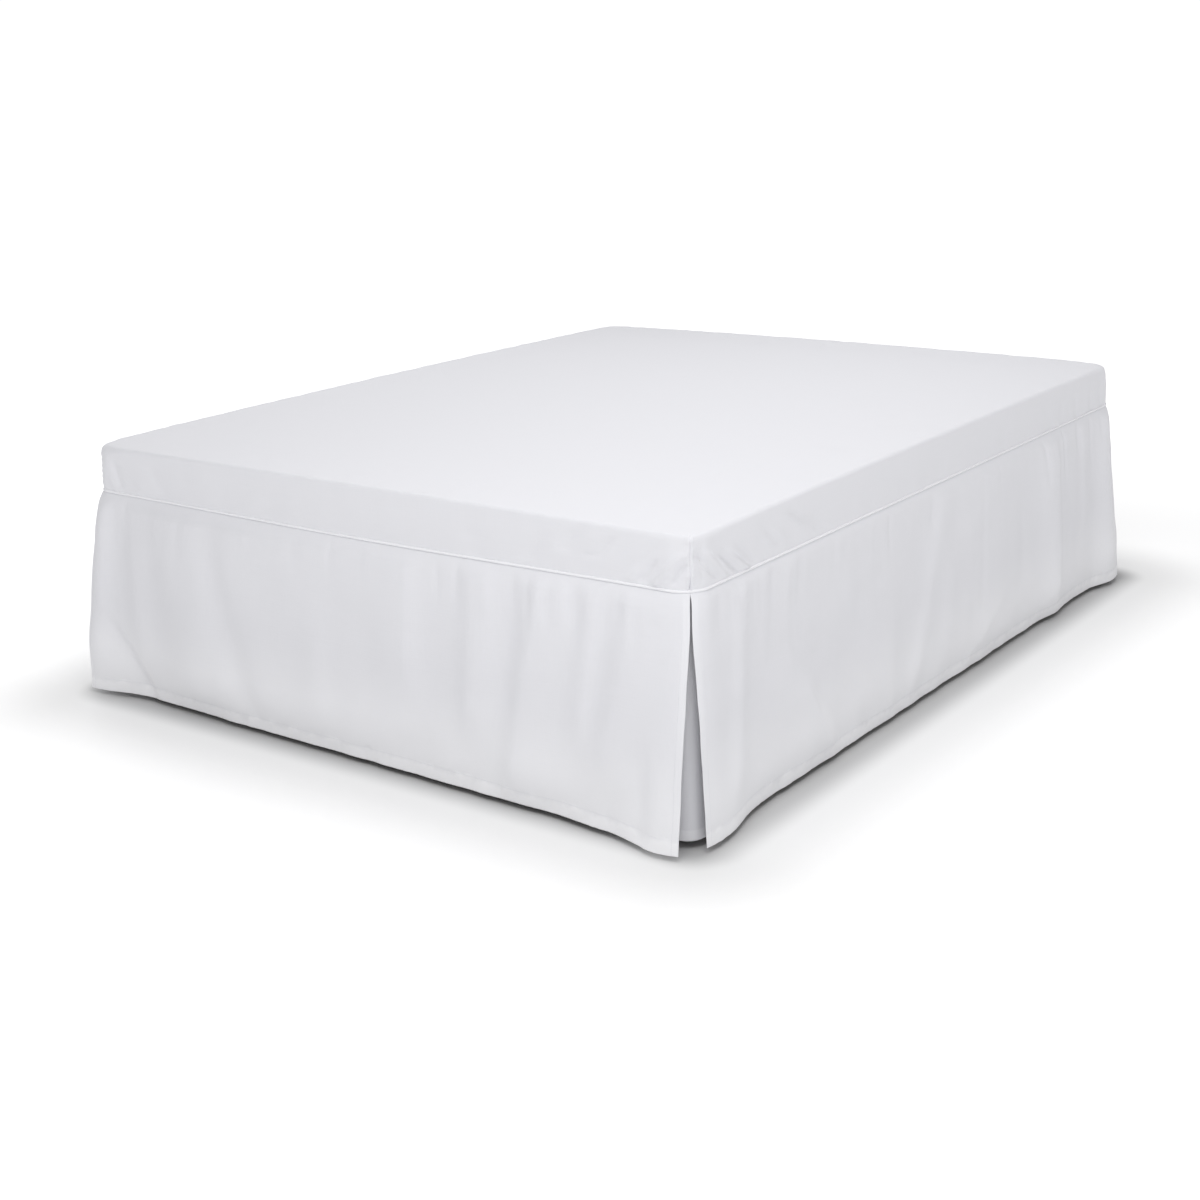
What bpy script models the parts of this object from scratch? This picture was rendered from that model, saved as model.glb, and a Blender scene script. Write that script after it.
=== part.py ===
"""Fitted bed skirt over a bed base, with split corners, piping and a hem just off the floor.

The cloth is one fitted platform piece, a loop of piping, four hanging side panels and four underlays
that close the split corners. Under it stand a plain upholstered base and its four feet.
Metres, +Z up, floor at z = 0, bed length along Y, foot end of the bed at -Y.
"""

from collections import namedtuple
from math import pi

import bmesh
import bpy
import numpy as np

# Bed, over the skirt's seam.
BED_WIDTH = 1.596
BED_LENGTH = 1.996
TOP_HEIGHT = 0.578
SEAM_HEIGHT = 0.471
HEM_HEIGHT = 0.012

# Cloth.
CLOTH = 0.0015
GAP = 0.0003
PIPING_DIAMETER = 0.0045
SEAM_CORNER_RADIUS = 0.050

# How finely the rings round the bed are divided: steps in half a corner, and columns in a side.
ARC_STEPS = 3
PLATFORM_COLUMNS = 12
PIPING_COLUMNS = 8
BASE_COLUMNS = 6

# Platform cloth: its rounded edge, the levels of its drops as shares from the top down, and the
# rings in which its top falls from a flat middle to its edges and corners.
TOP_CORNER_RADIUS = 0.052
TOP_EDGE_RADIUS = 0.018
CORNER_EDGE_DROP = 0.009
INNER_CORNER_RADIUS = TOP_CORNER_RADIUS - TOP_EDGE_RADIUS
TURN_STEPS = 3
DROP_LEVELS = (1.0, 0.85, 0.62, 0.36, 0.17)
DROP_TUCK = 0.001
TUCK_START = 0.45
CORNER_SEAM_PEAK = 0.001
FALL_INSETS = (0.060, 0.125, 0.200)
EDGE_FALL = 0.0012
CORNER_FALL = 0.0040

# Skirt panels: the roll of cloth just below the piping, how much of the seam's bow the hem loses,
# the length of the flap at each corner, and the shares of the drop over which folds grow and fade.
SEAM_ROLL = 0.0032
ROLL_DEPTH = 0.045
SWELL_LOSS = 0.5
FLAP_REACH = 0.14
FOLD_GROWTH = 0.30
FOLD_FADING = 0.25

# Underlays behind the split corners.
UNDERLAY_WING = 0.10
UNDERLAY_CORNER_FLARE = 0.042
UNDERLAY_WING_FLARE = 0.012
UNDERLAY_LEAN = 0.012
UNDERLAY_LIFT = 0.004
UNDERLAY_ROWS = 6

# Bed base and feet.
BASE_INSET = 0.006
BASE_BOTTOM = 0.150
BASE_CORNER_RADIUS = 0.046
BASE_EDGE_RADIUS = 0.016
BASE_EDGE_CLEARANCE = 0.0025
BASE_SOFTENING = 0.3
FOOT_TOP_RADIUS = 0.030
FOOT_BOTTOM_RADIUS = 0.022
FOOT_SIDES = 24
FOOT_INSET = 0.110

# Each side, as seen from outside: it is made facing -Y and turned by quarter turns. half is half
# its length and away is how far its seam lies from the middle of the bed.
# swell and sag are how far the seam bows out and down at the middle of the side, flare_left and
# flare_right are how far the hem stands out of the seam's plane at the two ends, and shift_left
# and shift_right are how far the hem's ends go past the corner along the side.
Side = namedtuple(
    "Side",
    "name turns half away columns rows swell sag flare_left flare_right shift_left shift_right",
)
HALF_WIDTH = BED_WIDTH / 2
HALF_LENGTH = BED_LENGTH / 2
SIDES = (
    Side("front", 0, HALF_WIDTH, HALF_LENGTH, 56, 9, 0.005, 0.0036, 0.027, 0.056, 0.036, 0.035),
    Side("right", 1, HALF_LENGTH, HALF_WIDTH, 68, 9, 0.001, 0.0000, 0.016, 0.026, 0.043, 0.010),
    Side("back", 2, HALF_WIDTH, HALF_LENGTH, 30, 7, 0.004, 0.0020, 0.030, 0.050, 0.024, 0.030),
    Side("left", 3, HALF_LENGTH, HALF_WIDTH, 38, 7, 0.004, 0.0015, 0.024, 0.020, 0.030, 0.020),
)

# Broad swings of the hem: place along the side from its middle, half width, and how far out.
Swing = namedtuple("Swing", "place half_width reach")
SWINGS = {
    "front": (
        Swing(-0.81, 0.090, 0.029),
        Swing(0.62, 0.070, 0.007),
        Swing(0.77, 0.085, 0.037),
    ),
    "right": (
        Swing(-0.98, 0.11, 0.030),
        Swing(0.60, 0.045, 0.009),
        Swing(0.93, 0.12, 0.026),
    ),
    "back": (
        Swing(-0.74, 0.12, 0.028),
        Swing(0.70, 0.12, 0.040),
    ),
    "left": (
        Swing(-0.94, 0.14, 0.028),
        Swing(0.10, 0.25, 0.006),
        Swing(0.96, 0.14, 0.026),
    ),
}

# Folds of the hanging cloth: place along the seam from the side's middle, how far the fold leans
# along the side by the hem, the shares of the drop at which it starts and fades, half width, and
# depth (out of the cloth where positive, a ridge, and into it where negative, a valley).
# A fade of 1.3 runs on to the hem.
Fold = namedtuple("Fold", "place lean start fade half_width depth")
FOLDS = {
    "front": (
        Fold(-0.740, -0.012, 0.02, 1.30, 0.026, 0.0040),
        Fold(-0.709, 0.165, 0.05, 0.85, 0.026, -0.0045),
        Fold(-0.612, 0.140, 0.05, 1.30, 0.028, -0.0045),
        Fold(-0.340, 0.110, 0.02, 1.30, 0.032, -0.0045),
        Fold(-0.050, 0.030, 0.20, 1.30, 0.040, -0.0015),
        Fold(0.135, 0.180, 0.05, 0.75, 0.034, 0.0030),
        Fold(0.300, 0.020, 0.10, 0.75, 0.028, -0.0025),
        Fold(0.457, -0.048, 0.00, 0.80, 0.032, -0.0080),
        Fold(0.562, 0.000, 0.00, 0.50, 0.026, -0.0040),
        Fold(0.642, -0.170, 0.00, 0.60, 0.026, 0.0045),
        Fold(0.748, 0.000, 0.55, 1.30, 0.026, -0.0045),
    ),
    "right": (
        Fold(-0.935, -0.030, 0.05, 1.30, 0.026, -0.0040),
        Fold(-0.828, -0.050, 0.02, 1.30, 0.028, -0.0060),
        Fold(-0.640, 0.148, 0.40, 1.30, 0.028, -0.0035),
        Fold(-0.475, 0.135, 0.50, 1.30, 0.028, -0.0025),
        Fold(-0.060, -0.155, 0.05, 1.30, 0.036, 0.0040),
        Fold(0.432, -0.110, 0.15, 1.30, 0.030, -0.0030),
        Fold(0.566, 0.004, 0.10, 1.30, 0.030, 0.0040),
        Fold(0.637, -0.032, 0.05, 1.30, 0.028, -0.0070),
        Fold(0.810, -0.025, 0.00, 1.30, 0.028, -0.0040),
        Fold(0.900, -0.120, 0.00, 0.90, 0.032, 0.0040),
    ),
    "back": (
        Fold(-0.560, 0.060, 0.05, 1.30, 0.050, -0.0060),
        Fold(-0.180, 0.030, 0.10, 1.30, 0.050, -0.0030),
        Fold(0.240, -0.040, 0.10, 1.30, 0.050, 0.0030),
        Fold(0.470, -0.050, 0.02, 1.30, 0.050, -0.0060),
    ),
    "left": (
        Fold(-0.780, 0.050, 0.05, 1.30, 0.050, -0.0060),
        Fold(-0.330, 0.060, 0.10, 1.30, 0.050, -0.0035),
        Fold(0.150, -0.040, 0.10, 1.30, 0.050, 0.0030),
        Fold(0.600, -0.060, 0.05, 1.30, 0.050, -0.0060),
    ),
}

# Pulls in the platform cloth's drop, which fan out below each sewn corner: the distance from the
# corner at the top edge and at the seam, half width and depth.
Pull = namedtuple("Pull", "top_distance seam_distance half_width depth")
PULLS = (
    Pull(0.030, 0.085, 0.016, 0.0015),
    Pull(0.060, 0.150, 0.018, -0.0020),
)

Look = namedtuple("Look", "colour roughness")
WHITE_COTTON = Look((0.86, 0.87, 0.90), 0.90)
SHADED_COTTON = Look((0.80, 0.81, 0.84), 0.90)
TICKING = Look((0.72, 0.71, 0.68), 0.85)
BEECH = Look((0.45, 0.31, 0.19), 0.50)


def clear_scene():
    """Remove every object that a new file starts with."""
    for thing in list(bpy.data.objects):
        bpy.data.objects.remove(thing, do_unlink=True)


def material(name, look):
    """One Principled material for one piece."""
    made = bpy.data.materials.new(name)
    made.use_nodes = True
    shader = made.node_tree.nodes["Principled BSDF"]
    shader.inputs["Base Color"].default_value = (*look.colour, 1.0)
    shader.inputs["Roughness"].default_value = look.roughness
    shader.inputs["Metallic"].default_value = 0.0
    return made


def smooth(share):
    """Ease from 0 to 1 as the share goes from 0 to 1, level at both ends."""
    share = np.clip(share, 0.0, 1.0)
    return share * share * (3.0 - 2.0 * share)


def bump(distance, half_width):
    """A soft bell of height 1 over a line."""
    return np.exp(-((distance / half_width) ** 2))


def hang(drop):
    """How far the hanging cloth has swung out at a share of the drop: most of it in the upper half."""
    return 1.35 * drop - 0.35 * drop**2


def spread(drop):
    """How far the flaps have spread along the side at a share of the drop: fast below the seam."""
    return np.sqrt(drop)


def stations(columns):
    """Points along one side: its left half corner, its straight and its right half corner.

    The first array runs from -1 to 1 along the straight, the second is the angle round the corner.
    """
    angles = np.linspace(pi / 4, 0.0, ARC_STEPS + 1)[:-1]
    along = np.linspace(-1.0, 1.0, columns + 1)
    share = np.concatenate([-np.ones(ARC_STEPS), along, np.ones(ARC_STEPS)])
    angle = np.concatenate([-angles, np.zeros(columns + 1), angles[::-1]])
    return share, angle


def outline(half, share, angle, radius, outset):
    """A rounded rectangle's side, set out from the seam: distance along it, and distance out of it."""
    along = share * (half + outset - radius) + radius * np.sin(angle)
    out = outset - radius * (1.0 - np.cos(angle))
    return along, out


def bow(share):
    """The seam's bow along a side, 1 at its middle and level at the corners."""
    return (1.0 - share**2) ** 2


def place_side(side, along, out, height, turned=True):
    """Turn a side's own distances into places round the bed, or leave it facing -Y."""
    cosine, sine = ((1, 0), (0, 1), (-1, 0), (0, -1))[side.turns if turned else 0]
    x = along * cosine + (side.away + out) * sine
    y = along * sine - (side.away + out) * cosine
    return np.stack([x, y, height + np.zeros_like(x)], axis=-1)


def grid_object(name, points, closed_round):
    """An open surface: a grid whose vertices are moved to points[row, column].

    With closed_round the last column is sewn to the first.
    """
    if closed_round:
        points = np.concatenate([points, points[:, :1]], axis=1)
    rows = points.shape[0] - 1
    columns = points.shape[1] - 1
    mesh_builder = bmesh.new()
    bmesh.ops.create_grid(mesh_builder, x_segments=columns, y_segments=rows, size=1.0)
    for vertex in mesh_builder.verts:
        column = round((vertex.co.x + 1.0) / 2.0 * columns)
        row = round((vertex.co.y + 1.0) / 2.0 * rows)
        vertex.co = points[row, column]
    if closed_round:
        bmesh.ops.remove_doubles(mesh_builder, verts=mesh_builder.verts, dist=1e-6)
    mesh = bpy.data.meshes.new(name)
    mesh_builder.to_mesh(mesh)
    mesh_builder.free()
    return bpy.data.objects.new(name, mesh)


def fill_rings(thing, highest_only):
    """Close a lofted surface's open rings, or only the highest one, with flat faces facing out."""
    builder = bmesh.new()
    builder.from_mesh(thing.data)
    rim = [edge for edge in builder.edges if edge.is_boundary]
    if highest_only:
        top = max(edge.verts[0].co.z for edge in rim)
        rim = [edge for edge in rim if all(vertex.co.z > top - GAP for vertex in edge.verts)]
    bmesh.ops.holes_fill(builder, edges=rim, sides=0)
    bmesh.ops.recalc_face_normals(builder, faces=builder.faces)
    builder.to_mesh(thing.data)
    builder.free()


def thicken(thing):
    """Give an open cloth surface its thickness, half on each side."""
    solid = thing.modifiers.new("cloth thickness", "SOLIDIFY")
    solid.thickness = CLOTH
    solid.offset = 0.0
    solid.use_even_offset = True


def finish(thing, collection, look):
    """Add a piece to its collection, with its material and smooth shading."""
    collection.objects.link(thing)
    thing.data.materials.append(material(thing.name, look))
    if isinstance(thing.data, bpy.types.Mesh):
        thing.data.shade_smooth()
        thing.data.set_sharp_from_angle(angle=pi / 5)
    return thing


def corner_nearness(share):
    """0 at the middle of a side and 1 at its corners."""
    return share**2


def seam_nearness(angle):
    """1 at the sewn corner seam, falling to 0 a third of the way to the straight."""
    return smooth(1.0 - (pi / 4 - np.abs(angle)) / (pi / 12))


def pull_depth(half, along, drop):
    """The pulls that fan out below both corners of a side's drop."""
    distance = half - np.abs(along)
    depth = np.zeros_like(along + drop)
    for pull in PULLS:
        line = pull.top_distance + (pull.seam_distance - pull.top_distance) * drop
        depth = depth + pull.depth * bump(distance - line, pull.half_width)
    return depth * np.sin(pi * np.clip(drop, 0.0, 1.0))


def ring_round(columns, place, *where):
    """One closed ring round the bed, from a function that places one side of it."""
    share, angle = stations(columns)
    parts = []
    for side in SIDES:
        along, out, height = place(side, share[:-1], angle[:-1], *where)
        parts.append(place_side(side, along, out, height))
    return np.concatenate(parts)


def top_surface(share):
    """Height of the platform cloth's middle line at the inner end of its rounded edge."""
    return TOP_HEIGHT - CLOTH / 2 - EDGE_FALL - CORNER_FALL * corner_nearness(share)


def edge_height(share):
    """How far the top's rounded edge reaches down: further at the corners, where it is pulled."""
    return TOP_EDGE_RADIUS + CORNER_EDGE_DROP * corner_nearness(share) ** 4


def drop_level(side, share, angle, drop):
    """A level of the drop: tucked in to the seam at its foot, upright above, square at its top."""
    radius = TOP_CORNER_RADIUS + (SEAM_CORNER_RADIUS - TOP_CORNER_RADIUS) * smooth(drop)
    tucked = smooth((drop - TUCK_START) / (1.0 - TUCK_START))
    peak = CORNER_SEAM_PEAK * smooth(1.0 - drop) * seam_nearness(angle)
    along, out = outline(side.half, share, angle, radius, DROP_TUCK * (1.0 - tucked) + peak)
    out = out + side.swell * bow(share) + pull_depth(side.half, along, drop)
    foot = SEAM_HEIGHT + PIPING_DIAMETER / 2 + GAP - side.sag * bow(share)
    top = top_surface(share) - edge_height(share)
    return along, out, foot + (top - foot) * (1.0 - drop)


def edge_level(side, share, angle, turn):
    """The rounded edge between the drop and the top, at an angle of its turn."""
    inward = TOP_EDGE_RADIUS * (1.0 - np.cos(turn))
    outset = DROP_TUCK - inward + CORNER_SEAM_PEAK * np.cos(turn) * seam_nearness(angle)
    along, out = outline(side.half, share, angle, TOP_CORNER_RADIUS - inward, outset)
    height = top_surface(share) - edge_height(share) * (1.0 - np.sin(turn))
    return along, out + side.swell * bow(share), height


def top_outset(inset):
    """Where a ring of the top lies, measured out from the seam."""
    return DROP_TUCK - TOP_EDGE_RADIUS - inset


def top_level(side, share, angle, inset):
    """The top, which rises from its edges to a flat middle."""
    along, out = outline(side.half, share, angle, INNER_CORNER_RADIUS, top_outset(inset))
    level = smooth(inset / FALL_INSETS[-1])
    edge = top_surface(share)
    height = edge + (TOP_HEIGHT - CLOTH / 2 - edge) * level
    return along, out + side.swell * bow(share) * (1.0 - level), height


def build_platform(collection):
    """The fitted top and its four drops, one piece of cloth with sewn corners."""
    rings = []
    for drop in DROP_LEVELS:
        rings.append(ring_round(PLATFORM_COLUMNS, drop_level, drop))
    for step in range(1, TURN_STEPS + 1):
        rings.append(ring_round(PLATFORM_COLUMNS, edge_level, pi / 2 * step / TURN_STEPS))
    for inset in FALL_INSETS:
        rings.append(ring_round(PLATFORM_COLUMNS, top_level, inset))
    cloth = grid_object("platform_cloth", np.stack(rings), closed_round=True)
    fill_rings(cloth, highest_only=True)
    thicken(cloth)
    return finish(cloth, collection, WHITE_COTTON)


def seam_line(side, share, angle):
    """The seam at the foot of the drops, bowed out and sagging along each side."""
    along, out = outline(side.half, share, angle, SEAM_CORNER_RADIUS, 0.0)
    return along, out + side.swell * bow(share), SEAM_HEIGHT - side.sag * bow(share)


def build_piping(collection):
    """The covered cord in the seam, one closed loop."""
    curve = bpy.data.curves.new("piping", "CURVE")
    curve.dimensions = "3D"
    curve.bevel_depth = PIPING_DIAMETER / 2
    curve.bevel_resolution = 2
    points = ring_round(PIPING_COLUMNS, seam_line)
    spline = curve.splines.new("POLY")
    spline.points.add(len(points) - 1)
    spline.points.foreach_set("co", np.column_stack([points, np.ones(len(points))]).ravel())
    spline.use_cyclic_u = True
    return finish(bpy.data.objects.new("piping", curve), collection, WHITE_COTTON)


def folds_at(side, along, drop):
    """The folds' depth at a place along the side and a share of the drop."""
    depth = np.zeros_like(along + drop)
    for fold in FOLDS[side.name]:
        centre = fold.place + fold.lean * drop**2
        grown = smooth((drop - fold.start) / FOLD_GROWTH)
        faded = smooth((drop - fold.fade) / FOLD_FADING)
        depth = depth + fold.depth * bump(along - centre, fold.half_width) * grown * (1.0 - faded)
    return depth


def hem_flare(side, along):
    """How far the hem stands out of the seam's plane along a side."""
    across = (along / side.half + 1.0) / 2.0
    flare = side.flare_left + (side.flare_right - side.flare_left) * across
    for swing in SWINGS[side.name]:
        flare = flare + swing.reach * bump(along - swing.place, swing.half_width)
    return flare


def build_panel(collection, side):
    """One side's hanging panel, made facing -Y and turned to its side."""
    share, angle = stations(side.columns)
    # A hair short of the corner, so that two panels never touch.
    angle = angle * (1.0 - 2.0 * GAP / (SEAM_CORNER_RADIUS * pi / 4))
    even = np.linspace(0.0, 1.0, side.rows + 1)[:, None]
    drop = (smooth(even) + even) / 2
    along, out = outline(side.half, share, angle, SEAM_CORNER_RADIUS, 0.0)
    # The flap at each end swings out along the side too, past the corner.
    reach = smooth((np.abs(along) - side.half + FLAP_REACH) / FLAP_REACH)
    shift = np.where(along < 0.0, -side.shift_left, side.shift_right) * reach
    roll = SEAM_ROLL * (drop / ROLL_DEPTH) * np.exp(1.0 - drop / ROLL_DEPTH)
    outward = out * (1.0 - hang(drop)) + hem_flare(side, along + shift) * hang(drop)
    outward = outward + side.swell * bow(share) * (1.0 - SWELL_LOSS * drop) + roll
    outward = outward + folds_at(side, along, drop)
    top = SEAM_HEIGHT - side.sag * bow(share) - PIPING_DIAMETER / 2 - GAP
    height = top + (HEM_HEIGHT - top) * drop
    points = place_side(side, along + shift * spread(drop), outward, height, turned=False)
    panel = grid_object(f"skirt_{side.name}", points, closed_round=False)
    panel.rotation_euler.z = side.turns * pi / 2
    thicken(panel)
    return finish(panel, collection, WHITE_COTTON)


def build_underlay(collection, name, corner_x, corner_y, turns):
    """The short panel behind one split corner, made for the corner at +X -Y and turned to its own."""
    angles = np.linspace(0.0, pi / 2, 2 * ARC_STEPS + 1)
    radius = SEAM_CORNER_RADIUS - CLOTH - GAP
    # Both wings run straight on from the corner's arc, the first along -X and the other along +Y.
    wing = np.array([1.0, 0.5]) * UNDERLAY_WING
    still = np.zeros(len(wing))
    x = np.concatenate([-wing, radius * np.sin(angles), still + radius])
    y = np.concatenate([still - radius, -radius * np.cos(angles), wing[::-1]])
    out_x = np.concatenate([still, np.sin(angles), still + 1.0])
    out_y = np.concatenate([still - 1.0, -np.cos(angles), still])
    middle = np.concatenate([still, np.sin(2 * angles), still])
    lean = np.concatenate([still + 1.0, np.cos(2 * angles), still - 1.0])
    drop = np.linspace(0.0, 1.0, UNDERLAY_ROWS)[:, None]
    flare = UNDERLAY_WING_FLARE + (UNDERLAY_CORNER_FLARE - UNDERLAY_WING_FLARE) * middle
    flare = (flare + UNDERLAY_LEAN * lean) * drop
    top = SEAM_HEIGHT - PIPING_DIAMETER / 2 - GAP
    height = top + (HEM_HEIGHT + UNDERLAY_LIFT - top) * drop
    points = np.stack([x + out_x * flare, y + out_y * flare, height + 0.0 * flare], axis=-1)
    underlay = grid_object(name, points, closed_round=False)
    underlay.location = (corner_x, corner_y, 0.0)
    underlay.rotation_euler.z = turns * pi / 2
    thicken(underlay)
    return finish(underlay, collection, SHADED_COTTON)


def base_level(side, share, angle, outset, height, from_top, level):
    """One ring of the base: at a height, or measured up from its crowned top."""
    radius = max(BASE_CORNER_RADIUS + outset, INNER_CORNER_RADIUS)
    along, out = outline(side.half, share, angle, radius, outset)
    edge = top_surface(share) - BASE_EDGE_CLEARANCE
    crown = edge + (TOP_HEIGHT - CLOTH / 2 - edge) * level
    return along, out, height + from_top * (crown - CLOTH / 2 - GAP)


def build_base(collection):
    """The bed base: one upholstered box with soft edges, whose top has the cloth's slight crown."""
    soft = BASE_EDGE_RADIUS
    corner = BASE_SOFTENING * soft
    levels = (
        (-BASE_INSET - soft, BASE_BOTTOM, 0.0, 0.0),
        (-BASE_INSET - corner, BASE_BOTTOM + corner, 0.0, 0.0),
        (-BASE_INSET, BASE_BOTTOM + soft, 0.0, 0.0),
        (-BASE_INSET, -soft, 1.0, 0.0),
        (-BASE_INSET - corner, -corner, 1.0, 0.0),
        (-BASE_INSET - soft, 0.0, 1.0, 0.0),
        (top_outset(FALL_INSETS[-1]), 0.0, 1.0, 1.0),
    )
    rings = [ring_round(BASE_COLUMNS, base_level, *level) for level in levels]
    base = grid_object("bed_base", np.stack(rings), closed_round=True)
    fill_rings(base, highest_only=False)
    return finish(base, collection, TICKING)


def build_feet(collection):
    """Four turned feet under the base's corners."""
    for x_name, x_sign in (("left", -1), ("right", 1)):
        for y_name, y_sign in (("front", -1), ("back", 1)):
            bpy.ops.mesh.primitive_cone_add(
                vertices=FOOT_SIDES,
                radius1=FOOT_BOTTOM_RADIUS,
                radius2=FOOT_TOP_RADIUS,
                depth=BASE_BOTTOM - GAP,
                location=(
                    x_sign * (HALF_WIDTH - FOOT_INSET),
                    y_sign * (HALF_LENGTH - FOOT_INSET),
                    (BASE_BOTTOM - GAP) / 2,
                ),
            )
            foot = bpy.context.active_object
            foot.name = f"foot_{y_name}_{x_name}"
            for holder in list(foot.users_collection):
                holder.objects.unlink(foot)
            finish(foot, collection, BEECH)


def build():
    """The whole bed skirt and what it fits over."""
    clear_scene()
    collection = bpy.data.collections.new("bed skirt")
    bpy.context.scene.collection.children.link(collection)
    build_base(collection)
    build_feet(collection)
    build_platform(collection)
    build_piping(collection)
    for side in SIDES:
        build_panel(collection, side)
    corner_x = HALF_WIDTH - SEAM_CORNER_RADIUS
    corner_y = HALF_LENGTH - SEAM_CORNER_RADIUS
    build_underlay(collection, "underlay_front_right", corner_x, -corner_y, 0)
    build_underlay(collection, "underlay_back_right", corner_x, corner_y, 1)
    build_underlay(collection, "underlay_back_left", -corner_x, corner_y, 2)
    build_underlay(collection, "underlay_front_left", -corner_x, -corner_y, 3)


build()
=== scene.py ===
"""Looks of a white fitted bed skirt over a bed base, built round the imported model.

Metres, +Z up, floor at z = 0, the bed's length along Y and its foot end at -Y.
"""

from collections import namedtuple
from math import pi

import bmesh
import bpy
import numpy as np
from mathutils import Matrix, Vector


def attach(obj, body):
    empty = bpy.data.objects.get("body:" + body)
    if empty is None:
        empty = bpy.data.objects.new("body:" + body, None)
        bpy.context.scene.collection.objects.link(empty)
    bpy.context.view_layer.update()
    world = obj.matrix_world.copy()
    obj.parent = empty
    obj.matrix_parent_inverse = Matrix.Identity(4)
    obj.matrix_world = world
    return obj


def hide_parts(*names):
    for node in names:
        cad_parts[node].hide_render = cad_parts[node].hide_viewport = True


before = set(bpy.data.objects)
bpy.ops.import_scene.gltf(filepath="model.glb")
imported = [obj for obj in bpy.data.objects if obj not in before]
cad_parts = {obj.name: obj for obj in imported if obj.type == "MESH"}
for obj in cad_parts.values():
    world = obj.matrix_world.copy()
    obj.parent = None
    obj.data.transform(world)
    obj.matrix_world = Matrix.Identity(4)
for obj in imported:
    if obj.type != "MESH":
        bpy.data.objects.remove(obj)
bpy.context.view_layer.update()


# ---- Bed base and feet ----------------------------------------------------------------------
# A divan base: a softwood box, padded and covered in woven ticking that is stapled underneath.
# It stands on four turned beech feet, screwed in near its corners. The solids stay as built.


def linear(colour):
    """An sRGB hex colour as linear red, green, blue and alpha: each channel's curve is undone."""
    channel = np.array([int(colour[place : place + 2], 16) for place in (1, 3, 5)]) / 255.0
    curved = ((channel + 0.055) / 1.055) ** 2.4
    return (*np.where(channel <= 0.04045, channel / 12.92, curved), 1.0)


def add_node(tree, kind, values=None, links=None, **settings):
    """Add a node with its settings and socket values, and link other nodes' outputs to it."""
    node = tree.nodes.new(kind)
    for setting, value in settings.items():
        setattr(node, setting, value)
    for socket, value in (values or {}).items():
        node.inputs[socket].default_value = value
    for socket, output in (links or {}).items():
        tree.links.new(output, node.inputs[socket])
    return node


def finish_of(name, sockets):
    """A new material and its Principled shader, with the values that are the same all over."""
    made = bpy.data.materials.new(name)
    made.use_nodes = True
    shader = made.node_tree.nodes["Principled BSDF"]
    for socket, value in sockets.items():
        shader.inputs[socket].default_value = value
    return made, made.node_tree, shader


def put_in(name, data):
    """Put a mesh, a light or a camera into the scene as an object."""
    thing = bpy.data.objects.new(name, data)
    bpy.context.scene.collection.objects.link(thing)
    return thing


# Cotton and viscose ticking in a close twill: matt, off-white, with darker slubs. Its slanting
# ribs are 1 mm apart, drawn about 5 mm apart so that they show.
ticking, tree, shader = finish_of("woven ticking", {"Roughness": 0.88, "Sheen Weight": 0.12})
place = add_node(tree, "ShaderNodeTexCoord").outputs["Object"]
ribs = add_node(
    tree,
    "ShaderNodeTexWave",
    values={"Scale": 80.0, "Distortion": 0.6, "Detail": 1.0},
    links={"Vector": place},
    bands_direction="DIAGONAL",
)
slubs = add_node(
    tree, "ShaderNodeTexNoise", values={"Scale": 60.0, "Detail": 4.0}, links={"Vector": place}
)
tone = add_node(
    tree,
    "ShaderNodeMixRGB",
    values={"Color1": linear("#C9C5BB"), "Color2": linear("#DDDAD2")},
    links={"Fac": slubs.outputs["Fac"]},
)
relief = add_node(
    tree,
    "ShaderNodeBump",
    values={"Strength": 0.25, "Distance": 0.0006},
    links={"Height": ribs.outputs["Fac"]},
)
tree.links.new(tone.outputs["Color"], shader.inputs["Base Color"])
tree.links.new(relief.outputs["Normal"], shader.inputs["Normal"])

# Beech, turned on a lathe and lacquered: warm, with fine straight grain up the foot, 1 to 3 mm
# apart, short dark flecks between, and a satin film over all.
beech, tree, shader = finish_of(
    "turned beech", {"Roughness": 0.42, "Coat Weight": 0.25, "Coat Roughness": 0.3}
)
place = add_node(tree, "ShaderNodeTexCoord").outputs["Object"]
up_the_foot = add_node(
    tree, "ShaderNodeMapping", values={"Scale": (380.0, 380.0, 14.0)}, links={"Vector": place}
)
grain = add_node(
    tree,
    "ShaderNodeTexNoise",
    values={"Scale": 1.0, "Detail": 3.0, "Roughness": 0.6},
    links={"Vector": up_the_foot.outputs["Vector"]},
)
tone = add_node(
    tree,
    "ShaderNodeMixRGB",
    values={"Color1": linear("#9A6B40"), "Color2": linear("#C99B6B")},
    links={"Fac": grain.outputs["Fac"]},
)
relief = add_node(
    tree,
    "ShaderNodeBump",
    values={"Strength": 0.15, "Distance": 0.0003},
    links={"Height": grain.outputs["Fac"]},
)
tree.links.new(tone.outputs["Color"], shader.inputs["Base Color"])
tree.links.new(relief.outputs["Normal"], shader.inputs["Normal"])

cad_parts["bed_base"].material_slots[0].material = ticking
for foot in ("front_left", "front_right", "back_left", "back_right"):
    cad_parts[f"foot_{foot}"].material_slots[0].material = beech


# ---- Platform cloth -------------------------------------------------------------------------
# The fitted top: one piece of percale over the base and 10 cm down its sides, with the corner
# squares cut out and each corner sewn shut. It is pulled taut, so that only its drops pucker.

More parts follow.
